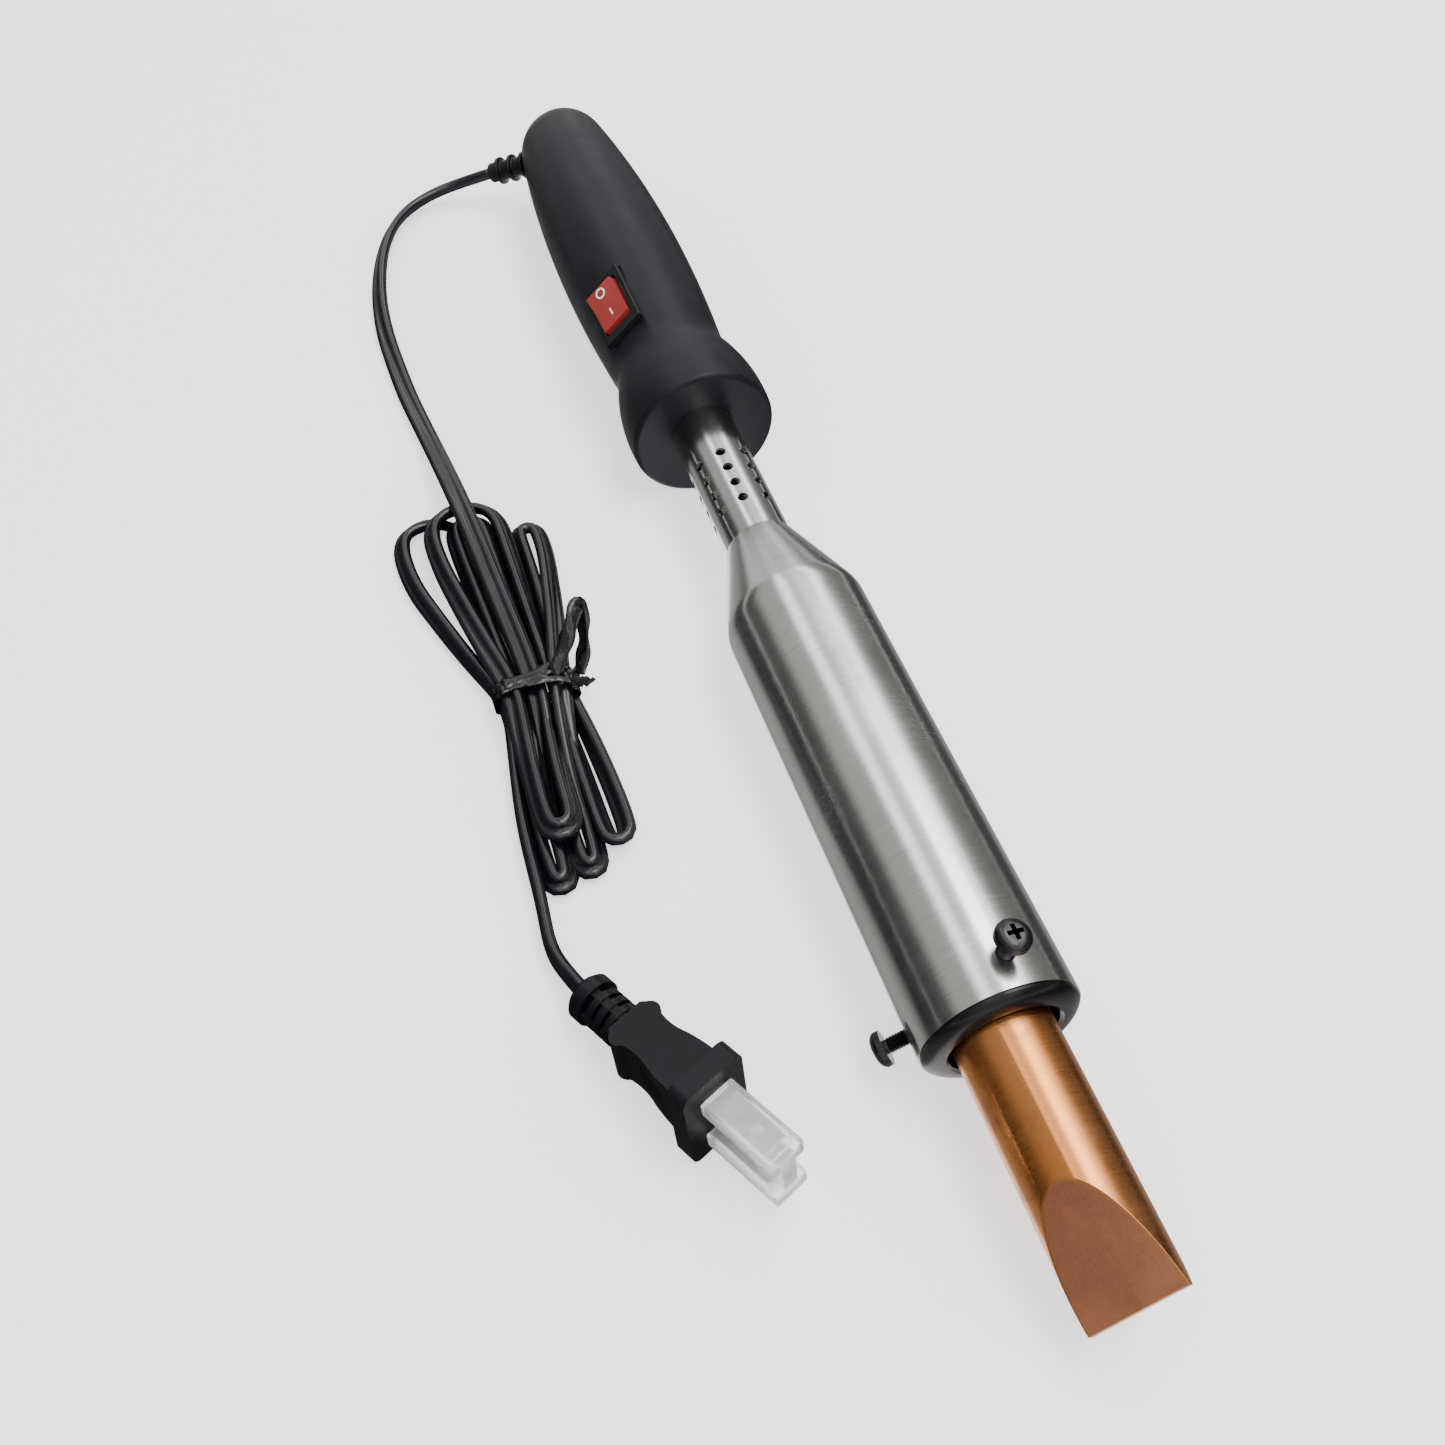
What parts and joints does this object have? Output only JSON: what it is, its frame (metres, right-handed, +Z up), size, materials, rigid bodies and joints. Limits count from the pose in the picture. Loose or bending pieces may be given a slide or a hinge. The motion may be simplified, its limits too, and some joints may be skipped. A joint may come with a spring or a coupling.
{
  "type": "soldering iron",
  "caption": "Large mains soldering iron with a clamped copper chisel tip, vented steel barrel, grip with a rocker switch, and a tied flat cord with a covered two-pole plug.",
  "frame": {"origin": "on the floor, under the middle of the iron's bounding box without the cord", "axes": "+X along the iron from the handle's dome to the copper tip, +Z up from the floor, +Y to the left of that direction; the iron lies on its handle collar and the lower rim of its barrel"},
  "size_m": [0.4427, 0.116, 0.0464],
  "materials": {
    "brushed_stainless": "satin",
    "polished_stainless": "polished",
    "black_steel": "satin",
    "copper": "satin",
    "black_screw": "satin",
    "mica": "satin",
    "ceramic_fibre": "matte",
    "resistance_alloy": "satin",
    "ceramic": "matte",
    "fibreglass": "matte",
    "soft_touch": "matte",
    "zinc": "satin",
    "black_gloss": "gloss",
    "red_plastic": "gloss",
    "spring_steel": "satin",
    "brass": "polished",
    "cord_pvc": "gloss",
    "red_pvc": "gloss",
    "white_pvc": "gloss",
    "white_nylon": "matte",
    "black_rubber": "satin",
    "tie_pvc": "gloss",
    "plug_pvc": "satin",
    "milky_plastic": "satin"
  },
  "bodies": {
    "iron": {"barrel_shell": "brushed_stainless", "ceramic_disc": "ceramic", "cord_boot": "black_rubber", "cord_hank": "cord_pvc", "cord_lead": "cord_pvc", "cord_tail": "cord_pvc", "crimp_connector": "brass", "end_ring": "black_steel", "handle_shell": "soft_touch", "heater_tube": "polished_stainless", "heating_ribbon": "resistance_alloy", "inner_cable_tie": "white_nylon", "inner_cord": "cord_pvc", "insulation_blanket": "ceramic_fibre", "lead_sleeves": "fibreglass", "live_core": "red_pvc", "mica_sleeve": "mica", "mica_wrap": "mica", "neck_screw": "zinc", "neck_tube": "polished_stainless", "neutral_core": "white_pvc", "neutral_lead": "resistance_alloy", "plug_blades": "brass", "plug_body": "plug_pvc", "switch_housing": "black_gloss", "switch_terminals": "brass", "switched_lead": "resistance_alloy", "twist_tie": "tie_pvc"},
    "tip": {"copper_tip": "copper"},
    "clamp_screw_upper": {"clamp_screw_upper": "black_screw"},
    "clamp_screw_side": {"clamp_screw_side": "black_screw"},
    "clamp_screw_lower": {"clamp_screw_lower": "black_screw"},
    "rocker": {"switch_rocker": "red_plastic", "switch_plunger": "zinc", "switch_spring": "spring_steel"},
    "contact": {"contact_arm": "brass"},
    "cover": {"blade_cover": "milky_plastic"}
  },
  "joints": [
    {"name": "tip_slide", "type": "slide", "parent": "iron", "child": "tip", "axis": [0.9999, 0, -0.0128], "range_m": [0, 0.058]},
    {"name": "clamp_upper_turn", "type": "hinge", "parent": "iron", "child": "clamp_screw_upper", "pos_m": [0.14686, 0.00304, 0.03904], "axis": [0.0127, 0.1045, 0.9944], "range_deg": [0, 720]},
    {"name": "clamp_side_turn", "type": "hinge", "parent": "iron", "child": "clamp_screw_side", "pos_m": [0.1465, -0.01732, 0.01102], "axis": [-0.0052, -0.9135, -0.4067], "range_deg": [0, 720]},
    {"name": "clamp_lower_turn", "type": "hinge", "parent": "iron", "child": "clamp_screw_lower", "pos_m": [0.14645, 0.01713, 0.0074], "axis": [-0.0075, 0.809, -0.5877], "range_deg": [0, 720]},
    {"name": "rocker_tilt", "type": "hinge", "parent": "iron", "child": "rocker", "pos_m": [-0.09504, -0.00978, 0.03343], "axis": [-0.0088, -0.7218, -0.6921], "range_deg": [0, 20]},
    {"name": "contact_rock", "type": "hinge", "parent": "iron", "child": "contact", "pos_m": [-0.09512, -0.00369, 0.02707], "axis": [-0.0088, -0.7218, -0.6921], "range_deg": [-12, 0]},
    {"name": "cover_slide", "type": "slide", "parent": "iron", "child": "cover", "axis": [0.8932, 0.4328, 0.1219], "range_m": [0, 0.022]}
  ],
  "couplings": [
    {"joint": "contact_rock", "follows": "rocker_tilt", "ratio": -0.6}
  ]
}
